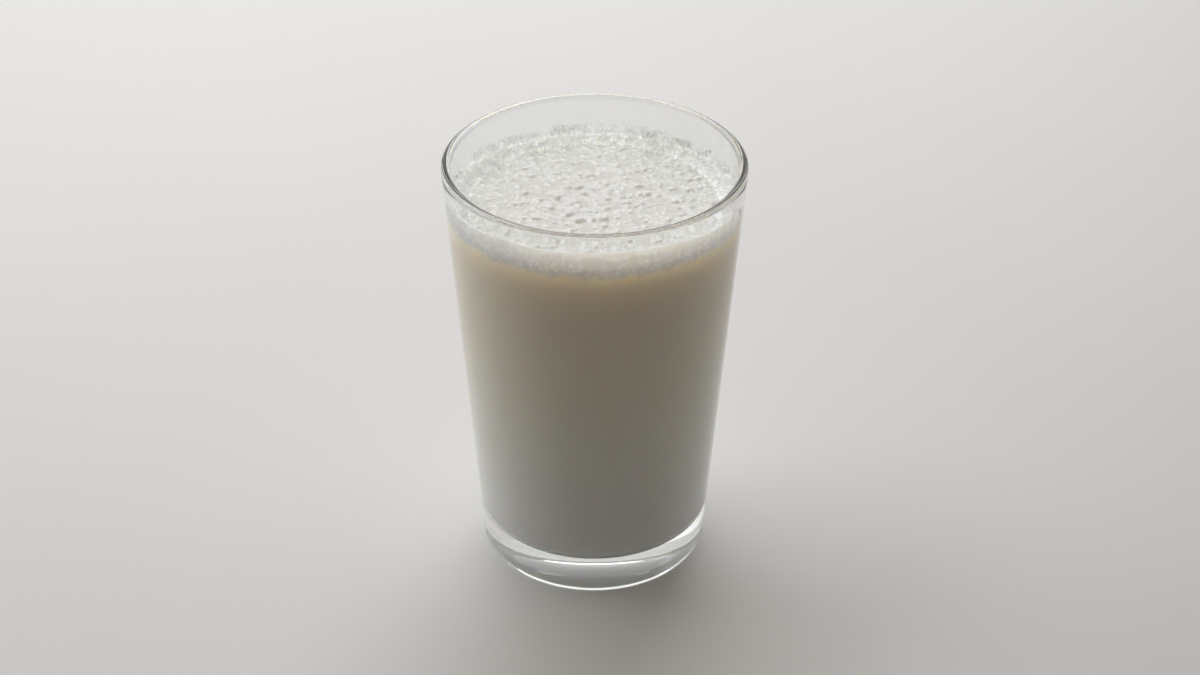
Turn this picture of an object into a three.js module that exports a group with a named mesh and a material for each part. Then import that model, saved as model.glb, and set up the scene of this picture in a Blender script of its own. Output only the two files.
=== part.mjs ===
// A glass of milk: a tapered drinking glass with a thick base, milk, and the froth that lies on it.
// Millimetres, +Z up, origin at the middle of the underside of the glass.

import * as THREE from 'three';

// Driving dimensions of the glass
const glassHeight = 112.6;
const rimRadius = 38.0;
const footRadius = 29.6;
const lipThickness = 2.4;
const wallThicknessAtFloor = 2.9;
const floorHeight = 9.5;
const floorFillet = 4.0;
const heelRadius = 2.0;
const puntRadius = 23.5;
const puntDepth = 1.4;
const glassSegments = 72;
const puntSteps = 3;
const heelSteps = 4;
const lipSteps = 6;
const cornerSteps = 4;

// Driving dimensions of the milk and its froth, with levels measured down from the lip
const gap = 0.3;
const milkDepthBelowLip = 13.4;
const frothDepthBelowLip = 12.0;
const collarTopBack = 7.0;
const collarTopFront = 4.8;
const collarTopThickness = 1.3;
const collarFootWidth = 4.2;
const collarCurve = 2.4;
const collarTopRound = 0.45;
const collarWaves = [
  { count: 5, start: 1.1, height: 0.22 },
  { count: 11, start: 0, height: 0.14 },
];
const collarRaggedness = 0.62;
const collarScatterStart = 900;
const collarRows = 5;
const meshSpacing = 1.08;

// Lumps and ripples of the froth's surface
const clusterLumps = 34;
const clusterSpread = 10.5;
const clusterCentre = new THREE.Vector2(-1.5, 1.0);
const looseLumps = 120;
const lumpRadiusLarge = 2.3;
const lumpRadiusSmall = 1.2;
const looseLumpShare = 0.8;
const lumpRise = 0.42;
const rippleHeight = 0.16;
const rippleWaves = [
  { angle: 1.35, length: 6.1 },
  { angle: 1.85, length: 4.3 },
  { angle: 0.45, length: 8.7 },
];

const taper = (rimRadius - footRadius) / glassHeight;
const wallAngle = Math.atan(taper);
const milkLevel = glassHeight - milkDepthBelowLip;
const frothLevel = glassHeight - frothDepthBelowLip;
const collarFootR = innerRadiusAt(frothLevel) - gap - collarFootWidth;
const collarSegments = Math.round((2 * Math.PI * collarFootR) / meshSpacing);

function outerRadiusAt(z) {
  return footRadius + taper * z;
}

function innerRadiusAt(z) {
  const share = (z - floorHeight) / (glassHeight - floorHeight);
  const thickness = THREE.MathUtils.lerp(wallThicknessAtFloor, lipThickness, share);
  return outerRadiusAt(z) - thickness;
}

// An arc round a centre, as profile points from one angle to another
function arc(centreR, centreZ, radius, fromAngle, toAngle, steps) {
  const points = [];
  for (let i = 0; i <= steps; i++) {
    const angle = THREE.MathUtils.lerp(fromAngle, toAngle, i / steps);
    points.push(new THREE.Vector2(centreR + radius * Math.cos(angle), centreZ + radius * Math.sin(angle)));
  }
  return points;
}

// A solid turned round the upright axis from its half outline
function turned(points, segments) {
  const geometry = new THREE.LatheGeometry(points, segments);
  geometry.rotateX(Math.PI / 2);
  return geometry;
}

// The fillet between the floor and the inner wall, grown inwards by a clearance
function floorCorner(clearance) {
  const radius = floorFillet - clearance;
  const centreZ = floorHeight + floorFillet;
  const centreR = innerRadiusAt(centreZ) - floorFillet / Math.cos(wallAngle);
  return arc(centreR, centreZ, radius, -wallAngle, -Math.PI / 2, cornerSteps);
}

function glassGeometry() {
  const lipRadius = lipThickness / 2;
  const lipZ = glassHeight - lipRadius;
  const heelR = outerRadiusAt(heelRadius) - heelRadius / Math.cos(wallAngle);
  const points = [new THREE.Vector2(0, puntDepth)];
  for (let i = 1; i <= puntSteps; i++) {
    const share = i / puntSteps;
    points.push(new THREE.Vector2(puntRadius * share, puntDepth * (1 - share * share)));
  }
  points.push(...arc(heelR, heelRadius, heelRadius, -Math.PI / 2, -wallAngle, heelSteps));
  points.push(...arc(rimRadius - lipRadius, lipZ, lipRadius, -wallAngle, Math.PI - wallAngle, lipSteps));
  points.push(...floorCorner(0));
  points.push(new THREE.Vector2(0, floorHeight));
  return turned(points, glassSegments);
}

function milkGeometry() {
  const points = [new THREE.Vector2(0, floorHeight + gap)];
  points.push(...floorCorner(gap).reverse());
  points.push(new THREE.Vector2(innerRadiusAt(milkLevel) - gap, milkLevel));
  points.push(new THREE.Vector2(0, milkLevel));
  return turned(points, glassSegments);
}

// The same number between 0 and 1 for the same counter, so that the froth is alike in each build
function scatter(counter) {
  const value = Math.sin(counter * 12.9898 + 4.1414) * 43758.5453;
  return value - Math.floor(value);
}

// Lumps crowd round the middle and lie thinly elsewhere
function frothLumps() {
  const lumps = [];
  for (let i = 0; i < clusterLumps + looseLumps; i++) {
    const inCluster = i < clusterLumps;
    const reach = inCluster ? clusterSpread : collarFootR;
    const distance = reach * Math.sqrt(scatter(i * 3));
    const angle = 2 * Math.PI * scatter(i * 3 + 1);
    const size = scatter(i * 3 + 2);
    const largest = inCluster ? lumpRadiusLarge : lumpRadiusLarge * looseLumpShare;
    lumps.push({
      x: (inCluster ? clusterCentre.x : 0) + distance * Math.cos(angle),
      y: (inCluster ? clusterCentre.y : 0) + distance * Math.sin(angle),
      radius: THREE.MathUtils.lerp(lumpRadiusSmall, largest, size),
    });
  }
  return lumps;
}

const lumps = frothLumps();

function surfaceRelief(x, y) {
  let ripple = 0;
  for (const wave of rippleWaves) {
    const along = x * Math.cos(wave.angle) + y * Math.sin(wave.angle);
    ripple += (rippleHeight / rippleWaves.length) * Math.sin((2 * Math.PI * along) / wave.length);
  }
  let rise = 0;
  for (const lump of lumps) {
    const nearness = 1 - ((x - lump.x) ** 2 + (y - lump.y) ** 2) / lump.radius ** 2;
    if (nearness > 0) {
      rise = Math.max(rise, lumpRise * lump.radius * Math.sqrt(nearness));
    }
  }
  return ripple + rise;
}

// The collar of bubbles stands higher on the wall at the front, which is -Y, than at the back
function collarTopAt(angle, counter) {
  const towardsBack = 0.5 + 0.5 * Math.sin(angle);
  let top = glassHeight - THREE.MathUtils.lerp(collarTopFront, collarTopBack, towardsBack);
  for (const wave of collarWaves) {
    top += wave.height * Math.sin(wave.count * angle + wave.start);
  }
  return top + collarRaggedness * (scatter(collarScatterStart + counter) - 0.5);
}

// A level ring of points round the axis, with radius and height worked out for each angle
function ring(count, pointAt) {
  const points = [];
  for (let j = 0; j < count; j++) {
    const angle = (2 * Math.PI * j) / count;
    const [r, z] = pointAt(angle, j);
    points.push([r * Math.cos(angle), r * Math.sin(angle), z]);
  }
  return points;
}

// A ring of the collar's inner face, from its top at share 0 to its foot at share 1
function collarRing(share) {
  return ring(collarSegments, (angle, j) => {
    const top = collarTopAt(angle, j);
    const r = THREE.MathUtils.lerp(innerRadiusAt(top) - gap - collarTopThickness, collarFootR, share);
    const height = (top - frothLevel - collarTopRound) * Math.pow(1 - share, collarCurve);
    const relief = share * surfaceRelief(r * Math.cos(angle), r * Math.sin(angle));
    return [r, frothLevel + height + relief];
  });
}

// A ring of the froth's surface inside the collar
function surfaceRing(r) {
  const count = Math.round((2 * Math.PI * r) / meshSpacing);
  return ring(count, (angle) => [
    r,
    frothLevel + surfaceRelief(r * Math.cos(angle), r * Math.sin(angle)),
  ]);
}

// The froth's rings, from the middle of its underside out, up the wall, over the collar and in to the middle
function frothRings() {
  const under = milkLevel + gap;
  const rings = [
    [[0, 0, under]],
    ring(collarSegments, () => [innerRadiusAt(under) - gap, under]),
    ring(collarSegments, () => [innerRadiusAt(frothLevel) - gap, frothLevel]),
    ring(collarSegments, (angle, j) => {
      const z = collarTopAt(angle, j) - collarTopRound;
      return [innerRadiusAt(z) - gap, z];
    }),
    ring(collarSegments, (angle, j) => {
      const z = collarTopAt(angle, j);
      return [innerRadiusAt(z) - gap - collarTopThickness / 2, z];
    }),
  ];
  for (let i = 0; i <= collarRows; i++) {
    rings.push(collarRing(i / collarRows));
  }
  for (let r = collarFootR - meshSpacing; r > meshSpacing / 2; r -= meshSpacing) {
    rings.push(surfaceRing(r));
  }
  rings.push([[0, 0, frothLevel + surfaceRelief(0, 0)]]);
  return rings;
}

// Triangles between two neighbouring rings, which may have different numbers of points
function stitch(indices, startA, countA, startB, countB) {
  let a = 0;
  let b = 0;
  const lastA = countA > 1 ? countA : 0;
  const lastB = countB > 1 ? countB : 0;
  while (a < lastA || b < lastB) {
    const stepOnA = b >= lastB || (a < lastA && (a + 1) / countA <= (b + 1) / countB);
    const hereA = startA + (a % countA);
    const hereB = startB + (b % countB);
    if (stepOnA) {
      indices.push(hereA, startA + ((a + 1) % countA), hereB);
      a++;
    } else {
      indices.push(hereA, startB + ((b + 1) % countB), hereB);
      b++;
    }
  }
}

function frothGeometry() {
  const positions = [];
  const indices = [];
  let previous = null;
  for (const points of frothRings()) {
    const start = positions.length / 3;
    positions.push(...points.flat());
    if (previous) {
      stitch(indices, previous.start, previous.count, start, points.length);
    }
    previous = { start, count: points.length };
  }
  const geometry = new THREE.BufferGeometry();
  geometry.setAttribute('position', new THREE.Float32BufferAttribute(positions, 3));
  geometry.setIndex(indices);
  geometry.computeVertexNormals();
  return geometry;
}

function piece(name, geometry, material) {
  const mesh = new THREE.Mesh(geometry, new THREE.MeshStandardMaterial(material));
  mesh.name = name;
  return mesh;
}

const glassOfMilk = new THREE.Group();
glassOfMilk.add(
  piece('tumbler', glassGeometry(), {
    color: 0xe4ebe8,
    roughness: 0.03,
    metalness: 0,
    transparent: true,
    opacity: 0.35,
  }),
);
glassOfMilk.add(piece('milk', milkGeometry(), { color: 0xe9e6da, roughness: 0.35, metalness: 0 }));
glassOfMilk.add(piece('froth', frothGeometry(), { color: 0xf1f0e8, roughness: 0.5, metalness: 0 }));

export default glassOfMilk;
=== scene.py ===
import math

import bmesh
import bpy
from mathutils import Matrix, Vector


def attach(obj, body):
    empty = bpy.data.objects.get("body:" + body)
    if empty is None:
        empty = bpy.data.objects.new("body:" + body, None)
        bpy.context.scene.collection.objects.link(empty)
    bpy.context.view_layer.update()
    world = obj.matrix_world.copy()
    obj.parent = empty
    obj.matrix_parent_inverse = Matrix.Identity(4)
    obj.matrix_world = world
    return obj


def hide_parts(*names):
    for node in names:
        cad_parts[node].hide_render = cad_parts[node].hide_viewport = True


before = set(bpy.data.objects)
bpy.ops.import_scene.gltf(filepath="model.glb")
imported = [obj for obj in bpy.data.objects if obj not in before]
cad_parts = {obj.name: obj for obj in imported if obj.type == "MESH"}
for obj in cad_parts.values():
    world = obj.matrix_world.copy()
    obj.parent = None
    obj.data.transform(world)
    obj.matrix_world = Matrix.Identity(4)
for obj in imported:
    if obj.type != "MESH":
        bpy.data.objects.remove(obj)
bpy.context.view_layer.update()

mm = 0.001
print("frame loaded")


# Small helpers for the steps that every piece needs

def deselectAll():
    if bpy.context.mode != "OBJECT":
        bpy.ops.object.mode_set(mode="OBJECT")
    bpy.ops.object.select_all(action="DESELECT")
    bpy.context.view_layer.objects.active = None


def makeActive(obj):
    deselectAll()
    obj.select_set(True)
    bpy.context.view_layer.objects.active = obj


def startCone(sides, lowRadius, highRadius, low, high):
    # an upright cone between two heights, left in edit mode
    deselectAll()
    bpy.ops.mesh.primitive_cone_add(
        vertices=sides, radius1=lowRadius, radius2=highRadius,
        depth=high - low, location=(0, 0, (high + low) / 2))
    bpy.ops.object.transform_apply(location=True, rotation=True, scale=True)
    cone = bpy.context.object
    makeActive(cone)
    bpy.ops.object.mode_set(mode="EDIT")
    return cone


def facesUp(centre, normal):
    return normal.z > 0.999


def facesDown(centre, normal):
    return normal.z < -0.999


def pickFaces(test):
    # selects in edit mode the faces whose centre and normal pass the test
    bpy.ops.mesh.select_mode(type="FACE")
    bpy.ops.mesh.select_all(action="DESELECT")
    mesh = bpy.context.object.data
    bm = bmesh.from_edit_mesh(mesh)
    for face in bm.faces:
        face.select_set(test(face.calc_center_median(), face.normal))
    bmesh.update_edit_mesh(mesh)


def pickRing(z, radius, slack=0.05 * mm):
    # selects in edit mode the level loop of edges at one height and one distance from the axis
    bpy.ops.mesh.select_mode(type="EDGE")
    bpy.ops.mesh.select_all(action="DESELECT")
    mesh = bpy.context.object.data
    bm = bmesh.from_edit_mesh(mesh)
    for edge in bm.edges:
        onRing = all(
            abs(v.co.z - z) < slack and abs(v.co.xy.length - radius) < slack
            for v in edge.verts
        )
        if onRing:
            edge.select_set(True)
    bmesh.update_edit_mesh(mesh)


def roundRing(z, radius, size, steps):
    # rounds the edge at one height and one distance from the axis
    pickRing(z, radius)
    bpy.ops.mesh.bevel(offset=size, segments=steps, offset_type="OFFSET")


def addRingCuts(heights):
    # loops of edges at heights in millimetres, which keep the shading of straight walls true
    for height in heights:
        bpy.ops.mesh.select_all(action="SELECT")
        bpy.ops.mesh.bisect(plane_co=(0, 0, height * mm), plane_no=(0, 0, 1))


def insetBy(thicknesses):
    for thickness in thicknesses:
        bpy.ops.mesh.inset(thickness=thickness)


def finishShape(obj, name):
    makeActive(obj)
    bpy.ops.object.transform_apply(location=True, rotation=True, scale=True)
    bpy.ops.object.shade_smooth()
    obj.name = name
    obj.data.name = name
    return obj


def scatter(counter):
    # the same number between 0 and 1 for the same counter
    value = math.sin(counter * 12.9898 + 4.1414) * 43758.5453
    return value - math.floor(value)


def blendValue(a, b, share):
    return a + (b - a) * share


# The glass

glassSizes = {
    "height": 112.59 * mm,
    "rimRadius": 38.0 * mm,
    "footRadius": 29.6 * mm,
    "lipThickness": 2.4 * mm,
    "lipRoundShare": 0.497,  # of the lip's thickness on each side, so that the two rounds don't meet
    "lipSteps": 8,
    "wallAtFloor": 2.9 * mm,
    "floorHeight": 9.5 * mm,
    "floorFillet": 5.0 * mm,
    "floorSteps": 10,
    "floorInsets": (0.6 * mm, 10 * mm),  # rings that hold the flat floor
    "heelRadius": 2.0 * mm,
    "heelSteps": 8,
    "puntRadius": 24.8 * mm,
    "puntDepth": 1.55 * mm,
    "puntSteps": 24,
    "cuts": (3, 6, 15, 40, 70, 95, 110),
    "sides": 256,
}


def outerRadiusAt(z):
    g = glassSizes
    return g["footRadius"] + (g["rimRadius"] - g["footRadius"]) * z / g["height"]


def innerRadiusAt(z):
    g = glassSizes
    share = (z - g["floorHeight"]) / (g["height"] - g["floorHeight"])
    return outerRadiusAt(z) - blendValue(g["wallAtFloor"], g["lipThickness"], share)


def makeTumbler():
    g = glassSizes
    top, floor = g["height"], g["floorHeight"]
    glass = startCone(g["sides"], g["footRadius"], g["rimRadius"], 0, top)
    # the hollow: the top is inset by the lip, pushed down to the floor and narrowed to the wall's taper
    pickFaces(facesUp)
    bpy.ops.mesh.inset(thickness=g["lipThickness"])
    bpy.ops.mesh.extrude_region_move(TRANSFORM_OT_translate={"value": (0, 0, floor - top)})
    narrowing = innerRadiusAt(floor) / (g["rimRadius"] - g["lipThickness"])
    bpy.ops.transform.resize(value=(narrowing, narrowing, 1), center_override=(0, 0, floor))
    # the punt: the underside is inset again and again and lifted in a shallow dome
    pickFaces(facesDown)
    bpy.ops.mesh.inset(thickness=g["footRadius"] - g["puntRadius"])
    for i in range(1, g["puntSteps"]):
        before, after = (i - 1) / g["puntSteps"], i / g["puntSteps"]
        lift = g["puntDepth"] * ((1 - (1 - after) ** 2) - (1 - (1 - before) ** 2))
        bpy.ops.mesh.inset(thickness=g["puntRadius"] / g["puntSteps"])
        bpy.ops.transform.translate(value=(0, 0, lift))
    # round edges: both sides of the lip, the corner of the floor and the heel
    lipRound = g["lipThickness"] * g["lipRoundShare"]
    roundRing(top, g["rimRadius"], lipRound, g["lipSteps"])
    roundRing(top, g["rimRadius"] - g["lipThickness"], lipRound, g["lipSteps"])
    roundRing(floor, innerRadiusAt(floor), g["floorFillet"], g["floorSteps"])
    roundRing(0, g["footRadius"], g["heelRadius"], g["heelSteps"])
    addRingCuts(g["cuts"])
    pickFaces(lambda centre, normal: (
        facesUp(centre, normal) and centre.xy.length < 1 * mm and centre.z > floor / 2))
    insetBy(g["floorInsets"])
    bpy.ops.mesh.select_all(action="SELECT")
    bpy.ops.mesh.remove_doubles(threshold=0.02 * mm)
    bpy.ops.mesh.normals_make_consistent(inside=False)
    bpy.ops.object.mode_set(mode="OBJECT")
    return finishShape(glass, "tumblerGlass")


# The milk and the froth on it are one body, so that light spreads from the froth down into the milk.
# It reaches just into the wall, so that no air shows between.

milkSizes = {
    "intoWall": 0.1 * mm,
    "sides": 960,
    "cornerSteps": 8,
    "cuts": (15, 25, 40, 55, 70, 85, 95),
    # the froth's level, and the collar that climbs the wall from it
    "levelBelowLip": 12.0 * mm,
    "collarTopBack": 7.0 * mm,
    "collarTopFront": 4.8 * mm,
    "collarDenseBack": 0.3,
    "collarDenseFront": 0.95,
    "collarTopThickness": 0.5 * mm,
    "collarWidth": 3.6 * mm,
    "collarCurve": 2.2,
    "collarWaveHeight": 0.22 * mm,
    "collarWaves": ((5, 1.1, 1.0), (11, 0.0, 0.6)),  # how many round the wall, where they start, share
    "edgeWidth": 0.5 * mm,
    "ringSpacing": 0.3 * mm,
    # lumps, fine bubbles and ripples of its surface
    "clusterLumps": 34,
    "clusterSpread": 10.5 * mm,
    "clusterCentre": (-1.5 * mm, 1.0 * mm),
    "looseLumps": 120,
    "looseShare": 0.8,
    "lumpLargest": 2.3 * mm,
    "lumpSmallest": 1.2 * mm,
    "lumpRise": 0.32,
    "fineBubbles": 1400,
    "fineLargest": 1.4 * mm,
    "fineSmallest": 0.65 * mm,
    "fineRise": 0.3,
    "fineSeed": 3000,
    "roundness": 1.5,
    "cell": 1.0 * mm,
    "rippleHeight": 0.16 * mm,
    "rippleWaves": ((1.35, 6.1 * mm), (1.85, 4.3 * mm), (0.45, 8.7 * mm)),  # direction, length
}


def frothLevel():
    return glassSizes["height"] - milkSizes["levelBelowLip"]


def towardsBack(angle):
    # 0 at the front of the glass, 1 at the back
    return 0.5 + 0.5 * math.sin(angle)


def collarTopAt(angle):
    m = milkSizes
    below = blendValue(m["collarTopFront"], m["collarTopBack"], towardsBack(angle))
    wave = 0
    for count, start, share in m["collarWaves"]:
        wave += share * math.sin(count * angle + start)
    return glassSizes["height"] - below + m["collarWaveHeight"] * wave


def denseTopAt(angle):
    # how high the dense froth stands on the wall; single bubbles reach further up
    m = milkSizes
    share = blendValue(m["collarDenseFront"], m["collarDenseBack"], towardsBack(angle))
    return frothLevel() + share * (collarTopAt(angle) - frothLevel())


def frothSpots():
    # the bubbles of the surface, big lumps first, each with its place, radius and height
    m = milkSizes
    wall = innerRadiusAt(frothLevel())
    spots = []
    for i in range(m["clusterLumps"] + m["looseLumps"]):
        inCluster = i < m["clusterLumps"]
        spread = m["clusterSpread"] if inCluster else wall - m["collarWidth"]
        distance = spread * math.sqrt(scatter(i * 3))
        angle = 2 * math.pi * scatter(i * 3 + 1)
        largest = m["lumpLargest"] if inCluster else m["lumpLargest"] * m["looseShare"]
        radius = blendValue(m["lumpSmallest"], largest, scatter(i * 3 + 2))
        x, y = m["clusterCentre"] if inCluster else (0, 0)
        x += distance * math.cos(angle)
        y += distance * math.sin(angle)
        spots.append((x, y, radius, m["lumpRise"] * radius))
    for i in range(m["fineBubbles"]):
        first = m["fineSeed"] + i * 3
        distance = wall * math.sqrt(scatter(first))
        angle = 2 * math.pi * scatter(first + 1)
        radius = blendValue(m["fineSmallest"], m["fineLargest"], scatter(first + 2) ** 2)
        x, y = distance * math.cos(angle), distance * math.sin(angle)
        spots.append((x, y, radius, m["fineRise"] * radius))
    return spots


def cellOf(place):
    return math.floor(place / milkSizes["cell"])


def sortIntoCells(spots):
    # a table from a square of the surface to the bubbles that reach into it
    cells = {}
    for spot in spots:
        x, y, radius = spot[:3]
        for i in range(cellOf(x - radius), cellOf(x + radius) + 1):
            for j in range(cellOf(y - radius), cellOf(y + radius) + 1):
                cells.setdefault((i, j), []).append(spot)
    return cells


def reliefAt(x, y, cells):
    m = milkSizes
    ripple = 0
    for turn, length in m["rippleWaves"]:
        along = x * math.cos(turn) + y * math.sin(turn)
        ripple += m["rippleHeight"] / len(m["rippleWaves"]) * math.sin(2 * math.pi * along / length)
    rise = 0
    for spotX, spotY, radius, height in cells.get((cellOf(x), cellOf(y)), ()):
        near = 1 - ((x - spotX) ** 2 + (y - spotY) ** 2) / radius ** 2
        if near > 0:
            rise = max(rise, height * near ** m["roundness"])
    return ripple + rise


def shapeFrothTop(body, wall):
    # lifts the flat top into the collar and the bubbles, and numbers its faces for the froth's finishes
    m = milkSizes
    level = frothLevel()
    justUnder = level - 0.01 * mm
    cells = sortIntoCells(frothSpots())
    bm = bmesh.from_edit_mesh(body.data)
    for face in bm.faces:
        centre = face.calc_center_median()
        if centre.z > justUnder:
            inCollar = centre.xy.length > wall - m["collarWidth"]
            face.material_index = 2 if inCollar else 1
    for vertex in bm.verts:
        if vertex.co.z < justUnder:
            continue
        x, y = vertex.co.x, vertex.co.y
        outward = math.hypot(x, y)
        inward = wall - outward
        share = min(max(inward - m["collarTopThickness"], 0) / m["collarWidth"], 1)
        lift = (denseTopAt(math.atan2(y, x)) - level) * (1 - share) ** m["collarCurve"]
        lean = (innerRadiusAt(level + lift) - innerRadiusAt(level)) / max(outward, mm)
        edge = min(inward / m["edgeWidth"], 1)  # the relief dies away at the wall
        vertex.co.x *= 1 + lean
        vertex.co.y *= 1 + lean
        vertex.co.z += lift + edge * reliefAt(x, y, cells)
    bmesh.update_edit_mesh(body.data)


def makeMilk():
    g, m = glassSizes, milkSizes
    bottom, level = g["floorHeight"] - m["intoWall"], frothLevel()
    foot, wall = innerRadiusAt(bottom) + m["intoWall"], innerRadiusAt(level) + m["intoWall"]
    milk = startCone(m["sides"], foot, wall, bottom, level)
    roundRing(bottom, foot, g["floorFillet"], m["cornerSteps"])
    addRingCuts(m["cuts"])
    pickFaces(facesDown)
    insetBy(g["floorInsets"])
    # the froth's top: rings from the wall inwards, and an even grid inside them
    pickFaces(facesUp)
    rings = math.ceil((m["collarTopThickness"] + m["collarWidth"]) / m["ringSpacing"])
    insetBy([m["ringSpacing"]] * rings)
    bpy.ops.mesh.delete(type="ONLY_FACE")
    pickRing(level, wall - rings * m["ringSpacing"])
    bpy.ops.mesh.fill_grid(span=m["sides"] // 4, use_interp_simple=True)
    bpy.ops.mesh.select_all(action="SELECT")
    bpy.ops.mesh.normals_make_consistent(inside=False)
    shapeFrothTop(milk, wall)
    bpy.ops.object.mode_set(mode="OBJECT")
    return finishShape(milk, "milkBody")


# Single bubbles that cling to the wall above the dense froth

bubbleSizes = {
    "count": 900,
    "seed": 9000,
    "smallest": 0.45 * mm,
    "largest": 1.25 * mm,
    "sphereSteps": 2,
    "intoWall": 0.05 * mm,
    "keptShare": 0.55,  # of the bubbles at the sides of the glass
    "keptSwing": 0.5,  # how much more of them are kept at the back, and less at the front
    "lowering": 1.2,  # draws them down towards the froth
}


def makeBubbles():
    b, m = bubbleSizes, milkSizes
    level = frothLevel()
    deselectAll()
    bpy.ops.mesh.primitive_ico_sphere_add(subdivisions=b["sphereSteps"], radius=1, location=(0, 0, 0))
    first = bpy.context.object
    copies = []
    for i in range(b["count"]):
        seed = b["seed"] + i * 4
        angle = 2 * math.pi * scatter(seed)
        if scatter(seed + 3) > b["keptShare"] + b["keptSwing"] * math.sin(angle):
            continue
        up = scatter(seed + 1) ** b["lowering"]
        radius = blendValue(b["smallest"], b["largest"], scatter(seed + 2))
        z = blendValue(level, collarTopAt(angle) - radius, up)
        dense = denseTopAt(angle) - level
        inward = radius - b["intoWall"]
        if z - level <= dense:
            # beside the dense froth it sits on the froth's slope
            cover = min(max((z - level) / dense, 0), 1)
            slope = 1 - cover ** (1 / m["collarCurve"])
            inward = max(inward, m["collarTopThickness"] + m["collarWidth"] * slope)
        out = innerRadiusAt(z) - inward
        mesh = first.data.copy()
        place = Vector((out * math.cos(angle), out * math.sin(angle), z))
        mesh.transform(Matrix.Translation(place) @ Matrix.Scale(radius, 4))
        copy = bpy.data.objects.new("bubble", mesh)
        bpy.context.collection.objects.link(copy)
        copies.append(copy)
    bpy.data.objects.remove(first)
    deselectAll()
    for copy in copies:
        copy.select_set(True)
    bpy.context.view_layer.objects.active = copies[0]
    bpy.ops.object.join()
    return finishShape(bpy.context.object, "frothBubbles")


# Shader maths: an expression on values adds its nodes

class Value:
    def __init__(self, material, socket):
        self.material = material
        self.socket = socket

    def maths(self, operation, other, swapped=False):
        first, second = (other, self) if swapped else (self, other)
        made = self.material.node("ShaderNodeMath", {"operation": operation}, {0: first, 1: second})
        return made["Value"]

    def __add__(self, other):
        return self.maths("ADD", other)

    def __radd__(self, other):
        return self.maths("ADD", other, True)

    def __sub__(self, other):
        return self.maths("SUBTRACT", other)

    def __rsub__(self, other):
        return self.maths("SUBTRACT", other, True)

    def __mul__(self, other):
        return self.maths("MULTIPLY", other)

    def __rmul__(self, other):
        return self.maths("MULTIPLY", other, True)


class Outputs:
    def __init__(self, material, node):
        self.material = material
        self.node = node

    def __getitem__(self, name):
        return Value(self.material, self.node.outputs[name])


class Surface:
    def __init__(self, name):
        self.data = bpy.data.materials.new(name)
        self.data.use_nodes = True
        self.tree = self.data.node_tree
        self.tree.nodes.clear()
        self.place = self.node("ShaderNodeTexCoord")["Object"]

    def node(self, kind, settings=None, sockets=None):
        made = self.tree.nodes.new(kind)
        for key, value in (settings or {}).items():
            setattr(made, key, value)
        for key, value in (sockets or {}).items():
            if isinstance(value, Value):
                self.tree.links.new(value.socket, made.inputs[key])
            else:
                made.inputs[key].default_value = value
        return Outputs(self, made)

    def noise(self, size, detail):
        return self.node("ShaderNodeTexNoise", None, {
            "Vector": self.place, "Scale": 1 / size, "Detail": detail})["Fac"]

    def cells(self, size):
        # distance from the middle of the nearest bubble
        return self.node("ShaderNodeTexVoronoi", None, {
            "Vector": self.place, "Scale": 1 / size})["Distance"]

    def height(self):
        return self.node("ShaderNodeSeparateXYZ", None, {"Vector": self.place})["Z"]

    def fade(self, value, start, end):
        return self.node("ShaderNodeMapRange", {"interpolation_type": "SMOOTHSTEP"}, {
            "Value": value, "From Min": start, "From Max": end})["Result"]

    def mixColour(self, share, first, second):
        # sockets by number, because the Mix node's colours share their names with its plain values
        made = self.node("ShaderNodeMix", {"data_type": "RGBA"}, {0: share, 6: first, 7: second})
        return made[2]

    def mixShader(self, share, first, second):
        return self.node("ShaderNodeMixShader", None, {0: share, 1: first, 2: second})["Shader"]

    def clearInShadow(self, shader, tint):
        # light goes straight through to what lies behind, with a tint
        clear = self.node("ShaderNodeBsdfTransparent", None, {"Color": tint})["BSDF"]
        shadowRay = self.node("ShaderNodeLightPath")["Is Shadow Ray"]
        return self.mixShader(shadowRay, shader, clear)

    def bump(self, height, distance, strength):
        return self.node("ShaderNodeBump", None, {
            "Height": height, "Distance": distance, "Strength": strength})["Normal"]

    def finish(self, shader):
        self.node("ShaderNodeOutputMaterial", None, {"Surface": shader})
        return self.data


# how strongly each bends light
bending = {"glass": 1.52, "milk": 1.35, "froth": 1.10}


def glassFinish():
    s = Surface("clearGlass")
    waves = s.noise(14 * mm, 1.0)
    smudges = s.noise(5 * mm, 4.0)
    shader = s.node("ShaderNodeBsdfPrincipled", None, {
        "Base Color": s.mixColour(smudges, (0.975, 0.99, 0.982, 1), (0.99, 0.995, 0.99, 1)),
        "Roughness": 0.004 + 0.008 * smudges,
        "IOR": bending["glass"],
        "Transmission Weight": 1.0,
        "Normal": s.bump(waves, 0.02 * mm, 0.5),
    })["BSDF"]
    return s.finish(s.clearInShadow(shader, (0.93, 0.95, 0.94, 1)))


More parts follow.
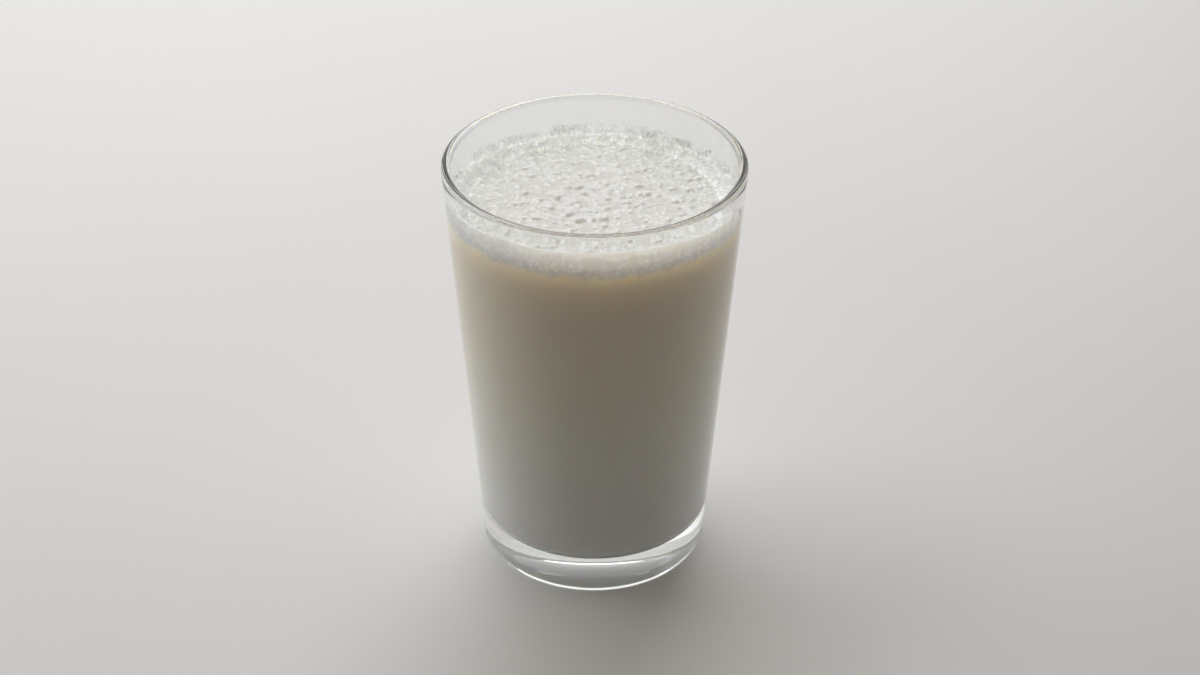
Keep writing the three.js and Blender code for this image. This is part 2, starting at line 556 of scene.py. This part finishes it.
def milkFinish():
    s = Surface("milk")
    cloud = s.noise(9 * mm, 2.0)
    edge = s.height() + 2.5 * mm * s.noise(2.2 * mm, 1.0)
    inFroth = s.fade(edge, frothLevel() - 0.6 * mm, frothLevel() + 2.2 * mm)
    bubble = s.fade(s.cells(1.3 * mm) + 0.25 * s.noise(1.0 * mm, 1.0), 0.15, 0.75)
    # painted light: the milk is painted paler and whiter towards the floor, for light that comes up
    # through the base, and creamier and darker higher up, as painted warm shade
    paintedLightNearFloor = 1 - s.fade(s.height() + 6 * mm * cloud, 8 * mm, 100 * mm)
    milkWithPaintedLight = s.mixColour(paintedLightNearFloor, (0.905, 0.835, 0.70, 1), (0.99, 0.968, 0.92, 1))
    # painted shade: the froth against the wall keeps its real pattern of bubbles, but is painted grey
    # and bluish, darker between the bubbles and darker higher up the band
    paintedShadeHigher = s.fade(s.height(), frothLevel() + 2 * mm, frothLevel() + 6 * mm)
    paintedShadeBubbleMiddles = s.mixColour(paintedShadeHigher, (0.775, 0.80, 0.85, 1), (0.59, 0.635, 0.70, 1))
    paintedShadeBubbleGaps = s.mixColour(paintedShadeHigher, (0.63, 0.65, 0.69, 1), (0.55, 0.585, 0.635, 1))
    frothBandPaintedShade = s.mixColour(bubble, paintedShadeBubbleMiddles, paintedShadeBubbleGaps)
    shader = s.node("ShaderNodeBsdfPrincipled", None, {
        "Base Color": s.mixColour(inFroth, milkWithPaintedLight, frothBandPaintedShade),
        "Roughness": 0.3 + 0.1 * cloud,
        "Specular IOR Level": 0.0,
        "Subsurface Weight": 1.0,
        "Subsurface Radius": (1.0, 0.8, 0.55),
        "Subsurface Scale": 6.8 * mm,
    })["BSDF"]
    # seen at a flat slant through the thick base, the glass mirrors where the milk touches it;
    # froth is half air, so over froth it mirrors at steeper angles too
    milkToGlass = bending["milk"] / bending["glass"]
    frothToGlass = bending["froth"] / bending["glass"]
    touching = milkToGlass - (milkToGlass - frothToGlass) * inFroth
    slant = s.node("ShaderNodeFresnel", None, {"IOR": touching})["Fac"]
    mirror = s.node("ShaderNodeBsdfGlossy", None, {
        "Color": (0.95, 0.97, 0.95, 1), "Roughness": 0.02})["BSDF"]
    return s.finish(s.mixShader(slant, shader, mirror))


# the froth's surface and its collar: how deep light goes, then the painted shade in the hollows between
# the bubbles, darker and a little olive, and the colours of the dull and the light patches
frothLooks = {
    "froth": (2.2 * mm, (0.785, 0.79, 0.735, 1), (0.80, 0.80, 0.775, 1), (0.855, 0.855, 0.845, 1)),
    "frothCollar": (5 * mm, (0.96, 0.96, 0.94, 1), (0.97, 0.97, 0.95, 1), (0.985, 0.985, 0.98, 1)),
}


def frothFinish(name):
    depth, paintedHollowShade, dull, light = frothLooks[name]
    s = Surface(name)
    patches = s.noise(4 * mm, 3.0)
    bubble = s.fade(s.cells(1.4 * mm), 0.1, 0.7)
    # painted shade: the lowest parts of the surface, the hollows between the bubbles, take the darker
    # colour
    top = s.fade(s.height(), frothLevel() - 0.1 * mm, frothLevel() + 0.4 * mm)
    paintedShadeCrest = s.fade(s.height(), frothLevel() + 4 * mm, frothLevel() + 7 * mm)
    surface = s.mixColour(top, paintedHollowShade, s.mixColour(patches, dull, light))
    shader = s.node("ShaderNodeBsdfPrincipled", None, {
        # painted shade: the collar's thin crest at the front is painted grey
        "Base Color": s.mixColour(paintedShadeCrest, surface, (0.60, 0.63, 0.66, 1)),
        "Roughness": 0.16 + 0.12 * bubble,
        "Specular IOR Level": 0.5,
        "Coat Weight": 0.8,
        "Coat Roughness": 0.06,
        "Subsurface Weight": 1.0,
        "Subsurface Radius": (1.0, 0.97, 0.85),
        "Subsurface Scale": depth,
        "Normal": s.bump(1 - bubble, 0.06 * mm, 0.4),
    })["BSDF"]
    return s.finish(shader)


def bubbleFinish():
    s = Surface("bubbleSkin")
    patches = s.noise(1.5 * mm, 2.0)
    shader = s.node("ShaderNodeBsdfPrincipled", None, {
        "Base Color": s.mixColour(patches, (0.97, 0.97, 0.955, 1), (0.99, 0.99, 0.985, 1)),
        "Roughness": 0.25 + 0.15 * patches,
        "IOR": 1.1,
        "Transmission Weight": 1.0,
        "Coat Weight": 0.6,
        "Coat Roughness": 0.08,
        "Coat IOR": 1.4,
    })["BSDF"]
    return s.finish(s.clearInShadow(shader, (0.96, 0.96, 0.95, 1)))


def floorFinish():
    s = Surface("paleFloor")
    cloud = s.noise(90 * mm, 3.0)
    shader = s.node("ShaderNodeBsdfPrincipled", None, {
        "Base Color": s.mixColour(cloud, (0.78, 0.78, 0.775, 1), (0.82, 0.82, 0.82, 1)),
        "Roughness": 0.42 + 0.08 * cloud,
    })["BSDF"]
    return s.finish(shader)


def setFinish(obj, *materials):
    # the finishes in the order of the faces' material numbers
    numbers = [face.material_index for face in obj.data.polygons]
    obj.data.materials.clear()
    for material in materials:
        obj.data.materials.append(material)
    for face, number in zip(obj.data.polygons, numbers):
        face.material_index = min(number, len(materials) - 1)


# The stage: a pale floor, a soft window light from behind and a dim room

stageSizes = {
    "floorSize": 8.0,
    "floorHeight": -0.03 * mm,  # a hair below the foot, as a real glass rests on a few points
    "roomColour": (1.0, 0.82, 0.64),
    "roomStrength": 0.17,
    "lightColour": (0.965, 0.98, 1.0),
    "lightDistance": 0.8,
    "lightsFace": (0, 0, 0.06),
    # each light: azimuth and elevation seen from the glass, width and height as angles, brightness
    "lights": {
        "backLeft": (-60, 23, 60, 46, 1.03),
        "backMiddle": (0, 23, 60, 46, 1.05),
        "backRight": (60, 22, 60, 40, 0.4),
        "boxLeft": (-60, 57, 60, 22, 2.1),
        "boxMiddle": (0, 57, 60, 22, 3.75),
    },
}


def addSoftLight(name, azimuth, elevation, width, tall, brightness):
    t = stageSizes
    distance = t["lightDistance"]
    turn, rise = math.radians(azimuth), math.radians(elevation)
    towards = Vector((math.sin(turn) * math.cos(rise), math.cos(turn) * math.cos(rise), math.sin(rise)))
    data = bpy.data.lights.new(name, "AREA")
    data.shape = "RECTANGLE"
    data.size = 2 * distance * math.tan(math.radians(width / 2)) * math.cos(rise)
    data.size_y = 2 * distance * math.tan(math.radians(tall / 2))
    data.energy = brightness * math.pi * data.size * data.size_y
    data.color = t["lightColour"]
    lamp = bpy.data.objects.new(name, data)
    bpy.context.scene.collection.objects.link(lamp)
    lamp.location = Vector(t["lightsFace"]) + distance * towards
    lamp.rotation_euler = (-towards).to_track_quat("-Z", "Y").to_euler()


def makeStage():
    t = stageSizes
    deselectAll()
    bpy.ops.mesh.primitive_plane_add(size=t["floorSize"], location=(0, 0, t["floorHeight"]))
    floor = bpy.context.object
    floor.name = "paleFloor"
    setFinish(floor, floorFinish())
    for name, settings in t["lights"].items():
        addSoftLight(name, *settings)
    world = bpy.data.worlds.new("room")
    world.use_nodes = True
    background = world.node_tree.nodes["Background"]
    background.inputs["Color"].default_value = (*t["roomColour"], 1)
    background.inputs["Strength"].default_value = t["roomStrength"]
    bpy.context.scene.world = world


# lens and sensor in millimetres, pitch and roll in degrees
cameraSizes = {
    "focal": 65.6,
    "sensor": 36.0,
    "distance": 565.9 * mm,
    "target": (1.5 * mm, 0, 60.8 * mm),
    "pitch": 32.61,
    "roll": 0.272,
}


def makeCamera():
    c = cameraSizes
    data = bpy.data.cameras.new("camera")
    data.sensor_width = c["sensor"]
    data.lens = c["focal"]
    camera = bpy.data.objects.new("camera", data)
    bpy.context.scene.collection.objects.link(camera)
    pitch = Matrix.Rotation(math.radians(90 - c["pitch"]), 4, "X")
    turn = pitch @ Matrix.Rotation(math.radians(c["roll"]), 4, "Z")
    back = Matrix.Translation((0, 0, c["distance"]))
    camera.matrix_world = Matrix.Translation(c["target"]) @ turn @ back
    bpy.context.scene.camera = camera


makeCamera()
print("camera placed")

tumbler = makeTumbler()
setFinish(tumbler, glassFinish())
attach(tumbler, "root")
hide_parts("tumbler")
print("tumbler made")

milk = makeMilk()
setFinish(milk, milkFinish(), frothFinish("froth"), frothFinish("frothCollar"))
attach(milk, "root")
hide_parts("milk", "froth")
print("milk made,", len(milk.data.polygons), "faces")

bubbles = makeBubbles()
setFinish(bubbles, bubbleFinish())
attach(bubbles, "root")
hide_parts("froth")
print("bubbles made,", len(bubbles.data.polygons), "faces")

makeStage()
bpy.context.scene.view_settings.view_transform = "Standard"
# light that runs round inside the rim and the bubbles needs many turns before it leaves
lightPaths = bpy.context.scene.cycles
lightPaths.max_bounces = 24
lightPaths.glossy_bounces = 5
lightPaths.transmission_bounces = 24
lightPaths.transparent_max_bounces = 24
print("stage set")
